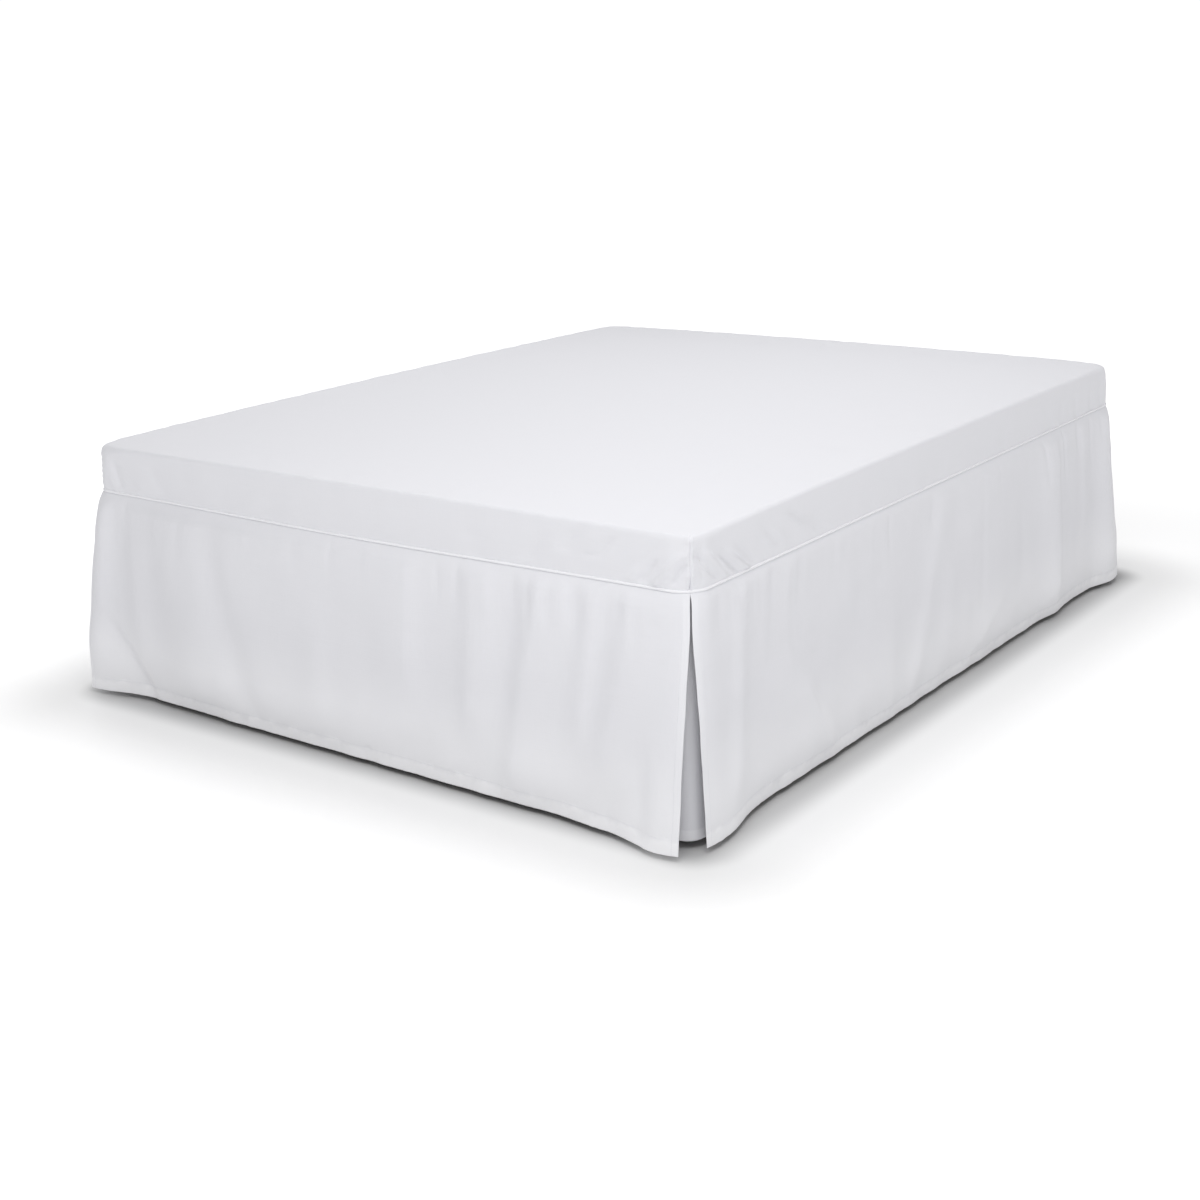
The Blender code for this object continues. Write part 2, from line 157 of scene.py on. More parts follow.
# Sizes as in the solids, but the top's edge is sharper here. Each cloth is CLOTH_ROOM thick there
# and CLOTH thick here.
BED_WIDTH = 1.596
BED_LENGTH = 1.996
HALF_WIDTH = BED_WIDTH / 2
HALF_LENGTH = BED_LENGTH / 2
TOP_HEIGHT = 0.578
SEAM_HEIGHT = 0.471
CLOTH_ROOM = 0.0015
CLOTH = 0.0010
PIPING_DIAMETER = 0.0045
SEAM_GAP = 0.0003
SEAM_CORNER_RADIUS = 0.050
TOP_CORNER_RADIUS = 0.052
TOP_EDGE_RADIUS = 0.007

# The drop stands off the base, less by TUCK_SHARE of that from TUCK_START down to its foot, which
# ends a little above the seam's line, behind the piping.
DROP_STANDS = 0.001
TUCK_START = 0.45
TUCK_SHARE = 0.4
FOOT_LIFT = 0.0010

# The top rises to its middle within TOP_RISE of its edges, which lie EDGE_FALL lower, and its
# corners lie CORNER_FALL lower still. The turn over the edge is deeper at the corners, and takes
# EDGE_TURN of the flat cut.
EDGE_FALL = 0.0012
CORNER_FALL = 0.0040
CORNER_EDGE_DROP = 0.006
EDGE_TURN = 0.028
TOP_RISE = 0.200
TOP_REACH = HALF_WIDTH + DROP_STANDS - TOP_EDGE_RADIUS

# How far the drop and the top crumple and the edge wavers. The seeded waves are read SIDES_APART
# further on for each side, so that no side looks like the next.
DROP_CRUMPLE = 0.0006
TOP_CRUMPLE = 0.0003
EDGE_WAVER = 0.0009
SIDES_APART = 3.1
PUCKERS_A_METRE = 13

# The sewn corner: a groove, a tick beside it at each stitch, and a small peak at its top end.
GROOVE_DEPTH = 0.0045
GROOVE_WIDTH = 0.0015
TICK_HEIGHT = 0.0012
TICK_WIDTH = 0.0026
TICK_PLACE = 0.0042
TICK_PITCH = 0.0125
PEAK_HEIGHT = 0.0022
PEAK_WIDTH = 0.0050

# The sides of the bed as seen from outside, each made facing -Y and turned by quarter turns.
# The seam bows out by its swell and down by its sag at the middle of the side. The ridges are
# the angles, in degrees round the left and right corners, at which the cloth leaves the base's
# round corner and runs straight to the corner seam. Round is how much the radius of the top's
# edge grows at those corners.
Side = namedtuple(
    "Side", "name turns half away columns swell sag ridge_left ridge_right round_left round_right"
)
SIDES = (
    Side("front", 0, HALF_WIDTH, HALF_LENGTH, 128, 0.005, 0.0036, 29.0, 13.0, 0.011, 0.0),
    Side("right", 1, HALF_LENGTH, HALF_WIDTH, 160, 0.001, 0.0, 13.0, 29.0, 0.0, 0.011),
    Side("back", 2, HALF_WIDTH, HALF_LENGTH, 128, 0.004, 0.002, 29.0, 25.0, 0.011, 0.004),
    Side("left", 3, HALF_LENGTH, HALF_WIDTH, 160, 0.004, 0.0015, 25.0, 29.0, 0.004, 0.011),
)

# Creases, a row each: place along the side from its middle, how far the crease leans by the foot
# of the cloth, the shares of the drop where it starts and ends, its half widths before and beyond
# its line, and its depth, a ridge where positive and a trough where negative.
Crease = namedtuple("Crease", "place lean start end before beyond depth")
DROP_CREASES = {
    "front": (
        (0.792, -0.078, 0.05, 0.88, 0.008, 0.011, 0.0059),
        (0.806, -0.056, 0.25, 0.8, 0.007, 0.006, -0.0053),
        (0.756, -0.07, 0.35, 0.85, 0.008, 0.008, -0.0049),
        (0.722, -0.06, 0.55, 0.95, 0.01, 0.009, 0.0028),
        (0.645, -0.09, 0.05, 0.55, 0.018, 0.011, -0.0039),
        (0.6, -0.04, 0.0, 0.45, 0.013, 0.018, 0.0021),
        (0.56, -0.07, 0.05, 0.5, 0.016, 0.012, -0.003),
        (0.505, -0.08, 0.2, 0.8, 0.018, 0.014, -0.0021),
        (0.3, 0.02, 0.35, 0.9, 0.03, 0.024, -0.0018),
        (0.12, -0.03, 0.2, 0.8, 0.026, 0.03, 0.0015),
        (-0.21, -0.03, 0.3, 0.95, 0.028, 0.036, -0.0021),
        (-0.45, 0.03, 0.1, 0.85, 0.024, 0.03, 0.0015),
        (-0.62, 0.06, 0.1, 0.85, 0.018, 0.024, -0.0031),
        (-0.735, 0.035, 0.05, 0.8, 0.01, 0.014, -0.0042),
        (-0.765, 0.045, 0.35, 0.9, 0.008, 0.009, 0.0012),
        (-0.785, 0.01, -0.2, 0.85, 0.034, 0.042, 0.0012),
    ),
    "right": (
        (-0.966, 0.004, -0.1, 0.8, 0.006, 0.012, -0.0016),
        (-1.0, 0.085, 0.1, 0.85, 0.009, 0.01, -0.0059),
        (-0.972, 0.09, 0.15, 0.85, 0.007, 0.007, 0.0039),
        (-0.958, 0.112, 0.35, 0.98, 0.008, 0.008, -0.0057),
        (-0.94, 0.132, 0.35, 0.98, 0.009, 0.008, 0.0053),
        (-0.905, 0.12, 0.3, 0.9, 0.012, 0.01, -0.0031),
        (-0.795, 0.11, 0.2, 0.75, 0.012, 0.01, -0.0039),
        (-0.77, 0.12, 0.25, 0.85, 0.01, 0.01, 0.0024),
        (-0.705, 0.17, 0.1, 0.8, 0.011, 0.014, -0.0046),
        (-0.672, 0.125, 0.25, 0.75, 0.01, 0.009, 0.0031),
        (-0.63, 0.11, 0.3, 0.8, 0.01, 0.01, -0.0031),
        (-0.4, 0.08, 0.2, 0.8, 0.022, 0.018, -0.0021),
        (-0.18, 0.06, 0.2, 0.75, 0.018, 0.022, 0.0015),
        (-0.05, 0.03, 0.35, 0.95, 0.018, 0.026, -0.0021),
        (0.3, 0.01, 0.3, 0.9, 0.02, 0.016, -0.0021),
        (0.563, 0.01, 0.25, 0.98, 0.012, 0.01, -0.002),
        (0.648, 0.015, 0.3, 0.98, 0.011, 0.013, -0.0024),
        (0.742, 0.013, 0.25, 0.98, 0.012, 0.01, -0.0025),
        (0.842, 0.008, 0.4, 0.98, 0.01, 0.011, -0.0028),
        (0.911, 0.008, 0.45, 0.98, 0.009, 0.009, -0.0028),
    ),
    "back": (
        (-0.76, 0.06, 0.05, 0.85, 0.009, 0.011, -0.0046),
        (-0.64, 0.05, 0.2, 0.8, 0.014, 0.018, -0.0031),
        (-0.35, 0.02, 0.2, 0.8, 0.024, 0.018, 0.0018),
        (-0.08, 0.02, 0.3, 0.95, 0.026, 0.02, -0.0021),
        (0.56, -0.04, 0.15, 0.7, 0.018, 0.012, -0.0026),
        (0.755, -0.065, 0.05, 0.9, 0.012, 0.008, -0.0049),
    ),
    "left": (
        (-0.95, 0.07, 0.05, 0.85, 0.009, 0.012, -0.0049),
        (-0.7, 0.08, 0.2, 0.8, 0.016, 0.012, -0.0031),
        (-0.22, 0.02, 0.3, 0.95, 0.024, 0.02, -0.0018),
        (0.12, -0.04, 0.1, 0.7, 0.02, 0.024, 0.0018),
        (0.38, -0.03, 0.25, 0.9, 0.018, 0.024, -0.0021),
        (0.82, -0.06, 0.1, 0.85, 0.012, 0.01, -0.0039),
        (0.955, -0.07, 0.05, 0.9, 0.01, 0.008, -0.0049),
    ),
}

# Pulls that fan out below every sewn corner: the distance from the corner at the top edge and at
# the seam, half width and depth.
Pull = namedtuple("Pull", "top_distance seam_distance half_width depth")
PULLS = (
    Pull(0.030, 0.085, 0.016, 0.0015),
    Pull(0.060, 0.150, 0.018, -0.0020),
)


def smooth(share):
    """Ease from 0 to 1 as the share goes from 0 to 1, level at both ends."""
    share = np.clip(share, 0.0, 1.0)
    return share * share * (3.0 - 2.0 * share)


def bell(distance, half_width):
    """A soft bell of height 1 over a line: e to the minus square of distance over half width."""
    return np.exp(-((distance / half_width) ** 2))


def stations(columns, arc_steps, crowding):
    """Columns along one side: half its left corner, its straight and half its right corner.

    The share runs from -1 to 1 along the straight, crowded towards its ends by a sine, and the
    angle runs round the half corners, crowded towards the corner itself.
    """
    step = np.linspace(1.0, 0.0, arc_steps + 1)[:-1]
    arc = pi / 4 * (1.0 - (1.0 - step) ** 1.5)
    even = np.linspace(-1.0, 1.0, columns + 1)
    straight = even + crowding * np.sin(pi * even) / pi
    share = np.concatenate([-np.ones(arc_steps), straight, np.ones(arc_steps)])
    angle = np.concatenate([-arc, np.zeros(columns + 1), arc[::-1]])
    return share, angle


def outline(half, share, angle, radius, outset):
    """A rounded rectangle's side, set out from the seam: the distance along it and out of it."""
    along = share * (half + outset - radius) + radius * np.sin(angle)
    out = outset - radius * (1.0 - np.cos(angle))
    return along, out


def bow(share):
    """The seam's bow along a side: 1 at its middle and level at its corners."""
    return (1.0 - share**2) ** 2


QUARTER_TURNS = ((1, 0), (0, 1), (-1, 0), (0, -1))


def turn_to_side(side, along, out, height):
    """A side's own distances along, out and up as places round the bed, by quarter turns."""
    cosine, sine = QUARTER_TURNS[side.turns]
    x = along * cosine + (side.away + out) * sine
    y = along * sine - (side.away + out) * cosine
    return np.stack(np.broadcast_arrays(x, y, height), axis=-1)


def creased(creases, along, drop, bend, growth, fading):
    """Soft troughs and ridges added up, each a bell across a line that leans along the side.

    The line's place goes with the drop to the power of its bend, and each crease grows over one
    share of the drop and fades over another.
    """
    depth = np.zeros(np.broadcast(along, drop).shape)
    for crease in map(Crease._make, creases):
        across = along - crease.place - crease.lean * drop**bend
        width = np.where(across < 0.0, crease.before, crease.beyond)
        grown = smooth((drop - crease.start) / growth)
        faded = smooth((drop - crease.end) / fading)
        depth = depth + crease.depth * bell(across, width) * grown * (1.0 - faded)
    return depth


def waves(rng, count, along_wave, up_wave):
    """Seeded waves for unevenness: a row each of turns per metre along and up, and a phase."""
    along_turns = rng.normal(0.0, 1.0, count) / along_wave
    up_turns = rng.normal(0.0, 1.0, count) / up_wave
    return np.stack([along_turns, up_turns, rng.uniform(0.0, 1.0, count)])


def uneven(strewn, along, up):
    """Slow unevenness of about -1 to 1: seeded sines added up, each in its own direction."""
    total = np.zeros(np.broadcast(along, up).shape)
    for along_turns, up_turns, phase in strewn.T:
        total = total + np.sin(2 * pi * (along_turns * along + up_turns * up + phase))
    return total / np.sqrt(strewn.shape[1])


def seam_nearness(angle, reach):
    """1 at the sewn corner seam, falling to 0 over a reach of angle."""
    return smooth(1.0 - (pi / 4 - np.abs(angle)) / reach)


def corner_pulls(half, along, drop):
    """The pulls below both corners of a drop: bells across lines that lean away from them."""
    distance = half - np.abs(along)
    depth = np.zeros(np.broadcast(along, drop).shape)
    for pull in PULLS:
        line = pull.top_distance + (pull.seam_distance - pull.top_distance) * drop
        depth = depth + pull.depth * bell(distance - line, pull.half_width)
    return depth * np.sin(pi * np.clip(drop, 0.0, 1.0))


def strewn_places(rng, a_metre, astray, half):
    """Places spread evenly along a side, each gone astray by up to a share of the spacing."""
    count = int(2 * half * a_metre)
    return np.linspace(-half, half, count) + rng.uniform(-astray, astray, count) * 2 * half / count


def seam_puckers(rng, half, longest):
    """Short creases that a sewn seam gathers, strewn along a side from seeded chance."""
    puckers = []
    for place in strewn_places(rng, PUCKERS_A_METRE, 0.4, half):
        width = rng.uniform(0.004, 0.009)
        length = rng.uniform(0.25, 1.0) * longest
        depth = rng.uniform(0.0002, 0.0009) * rng.choice((-1.0, 1.0))
        puckers.append((place, 0.0, 0.0, length, width, 1.4 * width, depth))
    return puckers


rng = np.random.default_rng(7)
DROP_WAVES = waves(rng, 24, 0.11, 0.16)
TOP_WAVES = waves(rng, 24, 0.30, 0.30)
EDGE_WAVES = waves(rng, 16, 0.07, 1.0)


def corner_ridge(side, angle):
    """How far the cloth stands off the round corner, which it leaves straight for the seam.

    It is the corner's radius times the secant of the angle gone since, less one radius.
    """
    leaves = np.radians(np.where(angle < 0.0, side.ridge_left, side.ridge_right))
    gone = np.maximum(np.abs(angle) - leaves, 0.0)
    return TOP_CORNER_RADIUS * (1.0 / np.cos(gone) - 1.0)


def corner_seam(angle, height, level, turn):
    """How far a sewn corner goes in: bells across its seam for the groove, ticks and peak."""
    to_seam = (pi / 4 - np.abs(angle)) * SEAM_CORNER_RADIUS
    stitch = 0.5 + 0.5 * np.cos(2 * pi * height / TICK_PITCH)
    groove = GROOVE_DEPTH * bell(to_seam, GROOVE_WIDTH)
    groove = groove - TICK_HEIGHT * stitch * bell(to_seam - TICK_PLACE, TICK_WIDTH)
    peak = PEAK_HEIGHT * bell(to_seam, PEAK_WIDTH) * bell(level - 1.3, 0.35)
    return groove * np.cos(turn) * smooth(level / 0.06) - peak


def platform_surface(side, puckers, share, angle, level):
    """Where the platform cloth lies on one side of the bed, and where that was in the flat cut.

    Levels 0 to 1 climb the drop from the seam, 1 to 2 turn over the edge in a quarter circle,
    and 2 to 3 cross the top to the bed's middle line, where all four sides meet.
    """
    drop = 1.0 - np.clip(level, 0.0, 1.0)
    turn = pi / 2 * np.clip(level - 1.0, 0.0, 1.0)
    # Rows across the top lie closer near its edge. The edge gets rounder only close to a corner.
    crossed = np.clip(level - 2.0, 0.0, 1.0) ** 1.4
    rounder = np.where(angle + share < 0.0, side.round_left, side.round_right) * share**24
    inset = (TOP_REACH - rounder) * crossed
    rise = smooth(inset / TOP_RISE)

    inward = (TOP_EDGE_RADIUS + rounder) * (1.0 - np.cos(turn))
    radius = TOP_CORNER_RADIUS + (SEAM_CORNER_RADIUS - TOP_CORNER_RADIUS) * smooth(drop) - inward
    radius = (radius + rounder * smooth(1.0 - drop)) * (1.0 - crossed)
    tucked = smooth((drop - TUCK_START) / (1.0 - TUCK_START))
    outset = DROP_STANDS * (1.0 - TUCK_SHARE * tucked) - inward - inset
    along, out = outline(side.half, share, angle, radius, outset)
    out = out + side.swell * bow(share) * (1.0 - rise)

    foot = SEAM_HEIGHT + FOOT_LIFT - side.sag * bow(share)
    middle = TOP_HEIGHT - CLOTH_ROOM / 2
    crest = middle - EDGE_FALL - CORNER_FALL * share**2
    edge = TOP_EDGE_RADIUS + CORNER_EDGE_DROP * share**8 + rounder
    height = foot + (crest - edge - foot) * (1.0 - drop) + edge * np.sin(turn)
    height = height + (middle - crest) * rise

    # The cloth stands off the round corner in a ridge, level with the piping at its foot.
    ridge = corner_ridge(side, angle) * smooth((1.0 - drop) / 0.35)
    ridge = ridge * np.cos(turn / 1.3) * (1.0 - rise)

    # Relief out of the cloth: creases and puckers in the drop, none at the corner seam itself.
    free = 1.0 - seam_nearness(angle, pi / 24)
    relief = creased(DROP_CREASES[side.name], along, drop, bend=1.0, growth=0.25, fading=0.12)
    relief = relief * free * smooth((1.02 - drop) / 0.12)
    gathered = creased(puckers, along, 1.0 - drop, bend=1.0, growth=0.06, fading=0.20)
    relief = relief + gathered * free * (drop < 1.0)
    relief = relief + corner_pulls(side.half, along, drop)
    place = turn_to_side(side, along, out, height)
    apart = along + SIDES_APART * side.turns
    crumpled = uneven(DROP_WAVES, apart, height) * free * np.sin(pi * drop) * (level < 1.0)
    relief = relief + DROP_CRUMPLE * crumpled
    relief = relief + TOP_CRUMPLE * (uneven(TOP_WAVES, place[..., 0], place[..., 1]) + 1.5) * rise
    wavering = uneven(EDGE_WAVES, apart, 0.0 * height)
    relief = relief + EDGE_WAVER * wavering * bell(level - 1.5, 0.6) * free
    relief = relief - corner_seam(angle, height, level, turn) * (np.abs(share) >= 1.0)

    push = relief * np.cos(turn) + ridge
    along = along + push * np.sin(angle)
    out = out + push * np.cos(angle)
    height = height + relief * np.sin(turn)

    # In the flat cut the drop runs on outwards from the edge, and the corner arcs lie straight.
    beyond = drop * (TOP_HEIGHT - SEAM_HEIGHT) + (1.0 - turn * 2 / pi) * EDGE_TURN
    straightened = SEAM_CORNER_RADIUS * (np.abs(angle) - np.sin(np.abs(angle)))
    flat_along = along + np.sign(angle) * straightened
    flat = turn_to_side(side, flat_along, beyond - inset, 0.0)[..., :2]
    return turn_to_side(side, along, out, height), flat


def cloth_piece(name, grids, merged=False):
    """A sheet of cloth from grids of points, their places in the flat cut, and how white each is
    coloured, painted light included.

    Each grid is turned into quads at once from the numbers of its rows and columns. Where grids
    meet they are merged, and Solidify gives half the thickness to each face.
    """
    corners, uvs, whites_and_painted_light, quads, start = [], [], [], [], 0
    for points, flat, whiteness_and_painted_light in grids:
        rows, columns = points.shape[:2]
        index = start + np.arange(rows * columns).reshape(rows, columns)
        ring = (index[:-1, :-1], index[:-1, 1:], index[1:, 1:], index[1:, :-1])
        quads.append(np.stack([part.ravel() for part in ring], axis=1))
        corners.append(points.reshape(-1, 3))
        uvs.append(flat.reshape(-1, 2))
        whites_and_painted_light.append(np.broadcast_to(whiteness_and_painted_light, (rows, columns)).ravel())
        start = start + rows * columns
    quads = np.concatenate(quads)
    mesh = bpy.data.meshes.new(name)
    mesh.from_pydata(np.concatenate(corners), [], quads)
    laid_flat = mesh.uv_layers.new(name="flat cut")
    laid_flat.data.foreach_set("uv", np.concatenate(uvs)[quads.ravel()].ravel())
    white = mesh.attributes.new("whiteness_and_painted_light", "FLOAT", "POINT")
    white.data.foreach_set("value", np.concatenate(whites_and_painted_light))
    if merged:
        joined = bmesh.new()
        joined.from_mesh(mesh)
        bmesh.ops.remove_doubles(joined, verts=joined.verts, dist=0.00002)
        bmesh.ops.dissolve_degenerate(joined, edges=joined.edges, dist=0.00001)
        joined.to_mesh(mesh)
        joined.free()
    mesh.shade_smooth()
    mesh.materials.append(percale)
    piece = put_in(name, mesh)
    solid = piece.modifiers.new("cloth thickness", "SOLIDIFY")
    solid.thickness = CLOTH
    solid.offset = 0.0
    solid.use_even_offset = False
    return piece


# Bleached polycotton percale, plain woven and pressed: matt, cool white, faintly slubbed. Its
# threads are 0.35 mm apart, drawn 1.4 mm apart so that a close view shows them, and its slubs,
# really one thread wide, are drawn 3 mm wide. Its points are coloured whiter in the threefold
# hems, and by painted light: a painted highlight on the piping and light off the floor low down.
percale, tree, shader = finish_of(
    "bleached percale",
    {"Roughness": 0.86, "Specular IOR Level": 0.3, "Sheen Weight": 0.10, "Sheen Roughness": 0.5},
)
THREADS = pi / 0.0014
place = add_node(tree, "ShaderNodeTexCoord").outputs["UV"]
axes = add_node(tree, "ShaderNodeSeparateXYZ", links={0: place})
waves_each_way, slubs_each_way = [], []
for axis, stretch in (("X", (330.0, 9.0, 1.0)), ("Y", (9.0, 330.0, 1.0))):
    turns = add_node(
        tree,
        "ShaderNodeMath",
        values={1: THREADS},
        links={0: axes.outputs[axis]},
        operation="MULTIPLY",
    )
    wave = add_node(tree, "ShaderNodeMath", links={0: turns.outputs[0]}, operation="SINE")
    drawn_out = add_node(
        tree, "ShaderNodeMapping", values={"Scale": stretch}, links={"Vector": place}
    )
    slub = add_node(
        tree, "ShaderNodeTexNoise", values={"Scale": 1.0}, links={"Vector": drawn_out.outputs[0]}
    )
    waves_each_way.append(wave.outputs[0])
    slubs_each_way.append(slub.outputs["Fac"])
weave = add_node(
    tree, "ShaderNodeMath", links=dict(enumerate(waves_each_way)), operation="MULTIPLY"
)
slubs = add_node(tree, "ShaderNodeMath", links=dict(enumerate(slubs_each_way)), operation="ADD")
pressing = add_node(
    tree,
    "ShaderNodeTexNoise",
    values={"Scale": 45.0, "Detail": 3.0, "Roughness": 0.55},
    links={"Vector": place},
)
threads = add_node(
    tree,
    "ShaderNodeMath",
    values={1: 0.12},
    links={0: weave.outputs[0], 2: slubs.outputs[0]},
    operation="MULTIPLY_ADD",
)
surface = add_node(
    tree,
    "ShaderNodeMath",
    values={1: 1.6},
    links={0: pressing.outputs["Fac"], 2: threads.outputs[0]},
    operation="MULTIPLY_ADD",
)
relief = add_node(
    tree,
    "ShaderNodeBump",
    values={"Strength": 0.25, "Distance": 0.0006},
    links={"Height": surface.outputs[0]},
)
one_cloth = add_node(
    tree,
    "ShaderNodeMixRGB",
    values={"Color1": linear("#E4E4E8"), "Color2": linear("#E7E7EB")},
    links={"Fac": slubs.outputs[0]},
    use_clamp=True,
)
# The points' share of whiter colour holds painted light as well as the threefold hems.
whiteness_and_painted_light = add_node(tree, "ShaderNodeAttribute", attribute_name="whiteness_and_painted_light")
whiter_and_painted_light = add_node(
    tree,
    "ShaderNodeMixRGB",
    values={"Color2": linear("#FDFDFF")},
    links={"Fac": whiteness_and_painted_light.outputs["Fac"], "Color1": one_cloth.outputs["Color"]},
)
tree.links.new(whiter_and_painted_light.outputs["Color"], shader.inputs["Base Color"])
tree.links.new(relief.outputs["Normal"], shader.inputs["Normal"])

# Rows lie closer just above the seam and round the edge.
LEVELS = np.concatenate(
    [
        [0.0, 0.012, 0.022, 0.034, 0.05],
        np.linspace(0.08, 1.0, 27),
        1.0 + np.linspace(0.0, 1.0, 9)[1:],
        2.0 + np.linspace(0.0, 1.0, 22)[1:],
    ]
)[:, None]
grids = []
for side in SIDES:
    puckers = seam_puckers(rng, side.half, longest=0.35)
    share, angle = stations(side.columns, arc_steps=16, crowding=0.65)
    grids.append((*platform_surface(side, puckers, share, angle, LEVELS), 0.0))
platform = cloth_piece("fitted_top", grids, merged=True)
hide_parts("platform_cloth")
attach(platform, "root")


# ---- Piping ---------------------------------------------------------------------------------
# A thin cotton cord wrapped in a strip of the same cloth cut on the bias, sewn into the seam at
# the foot of the drops, all the way round. The bias strip ripples a little over its cord.

PIPING_SIDES = 12
PIPING_STANDS = 0.0010
# The piping is coloured whiter than the cloth: partly for its doubled cloth over a white cord,
# partly as a painted highlight where it catches light from above.
PIPING_WHITENESS_AND_PAINTED_HIGHLIGHT = 0.45
STRIP_THICKNESS = 0.0004
STRIP_RIPPLE = 0.035
RIPPLE_PITCH = 0.017
around = np.linspace(0.0, 2 * pi, PIPING_SIDES + 1)[:, None]
grids = []
for side in SIDES:
    share, angle = stations(2 * side.columns - 60, arc_steps=10, crowding=0.0)
    along, out = outline(side.half, share, angle, SEAM_CORNER_RADIUS, 0.0)
    out = out + side.swell * bow(share)
    height = SEAM_HEIGHT - side.sag * bow(share)
    ripple = np.sin(around + along * 2 * pi / RIPPLE_PITCH) * (1.0 - seam_nearness(angle, pi / 12))
    radius = (PIPING_DIAMETER / 2 + STRIP_THICKNESS) * (1.0 + STRIP_RIPPLE * ripple)
    level_out = radius * np.cos(around) + PIPING_STANDS
    points = turn_to_side(
        side,
        along + level_out * np.sin(angle),
        out + level_out * np.cos(angle),
        height + radius * np.sin(around),
    )
    # The strip's threads run at 45 degrees to the cord.
    wrapped = around * PIPING_DIAMETER / 2
    bias = np.stack([along + wrapped, along - wrapped], axis=-1) * np.cos(pi / 4)
    grids.append((points, bias, PIPING_WHITENESS_AND_PAINTED_HIGHLIGHT))
piping = cloth_piece("sewn_piping", grids, merged=True)
# It is a closed tube, so it takes no cloth thickness.
piping.modifiers.clear()
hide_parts("piping")
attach(piping, "root")


# ---- Skirt panels ---------------------------------------------------------------------------
# Four panels of percale, one for each side, sewn under the piping and left open at the corners.
# They hang to 12 mm off the floor, with a 3 cm double hem and narrow hems down both ends.

HEM_HEIGHT = 0.012
HEM_DEPTH = 0.030
END_HEM = 0.012
PANEL_DROP = SEAM_HEIGHT - HEM_HEIGHT - 0.0025
RIPPLES_A_METRE = 6

# The top edge is sewn in behind the piping. Below it the cloth rolls out over its allowance. By
# the hem it has lost half of the seam's swell. Its flare grows faster in the upper half.
SEWN_IN = 0.0010
SEAM_ROLL = 0.0042
ROLL_DEPTH = 0.045
SWELL_LOSS = 0.5
FLARE_BEND = 0.35
FLAP_REACH = 0.14
WANDER = 0.0013

# Where a fold would go into the base, the cloth lies softly against it.
BASE_ROOM = 0.0014
BASE_SOFTNESS = 0.0016

# The hems' step, the width it is rounded over, how far the hem gathers at its stitched line and
# wavers below it, and how much of each end is turned in.
HEM_STEP = 0.0003
STEP_WIDTH = 0.0014
END_STEP_WIDTH = 0.004
HEM_GATHER = 0.0005
GATHER_WIDTH = 0.0045
STITCHED_BELOW = 0.003
HEM_WAVER = 0.0005
END_TURNED_IN = 0.014

# How much whiter the cloth is coloured: in the threefold hems, in patches, with painted light
# besides; more at the foot, as painted light off the floor; and over the lower half, as painted
# light off the floor that comes through the cloth.
HEM_WHITER_AND_PAINTED_LIGHT = 0.34
HEM_PATCHES = 0.12
FOOT_PAINTED_LIGHT = 0.20
END_HEM_WHITER = 0.20
LOW_PAINTED_LIGHT = 0.64
LIT_FROM = 0.47

# How far each hem stands out of the seam's plane at its two ends, and how far the ends go past
# the corner along the side.
Hang = namedtuple("Hang", "columns flare_left flare_right shift_left shift_right")
HANGS = {
    "front": Hang(340, 0.027, 0.056, 0.036, 0.035),
    "right": Hang(400, 0.016, 0.026, 0.043, 0.010),
    "back": Hang(300, 0.030, 0.050, 0.024, 0.030),
    "left": Hang(360, 0.024, 0.020, 0.030, 0.020),
}

# Broad swings of the hem: place along the side from its middle, half width, and how far out.
Swing = namedtuple("Swing", "place half_width reach")
SWINGS = {
    "front": (Swing(-0.81, 0.09, 0.029), Swing(0.62, 0.07, 0.007), Swing(0.77, 0.085, 0.037)),
    "right": (Swing(-0.98, 0.11, 0.03), Swing(0.6, 0.045, 0.009), Swing(0.95, 0.085, 0.026)),
    "back": (Swing(-0.74, 0.12, 0.028), Swing(0.7, 0.12, 0.04)),
    "left": (Swing(-0.94, 0.14, 0.028), Swing(0.1, 0.25, 0.006), Swing(0.96, 0.14, 0.026)),
}

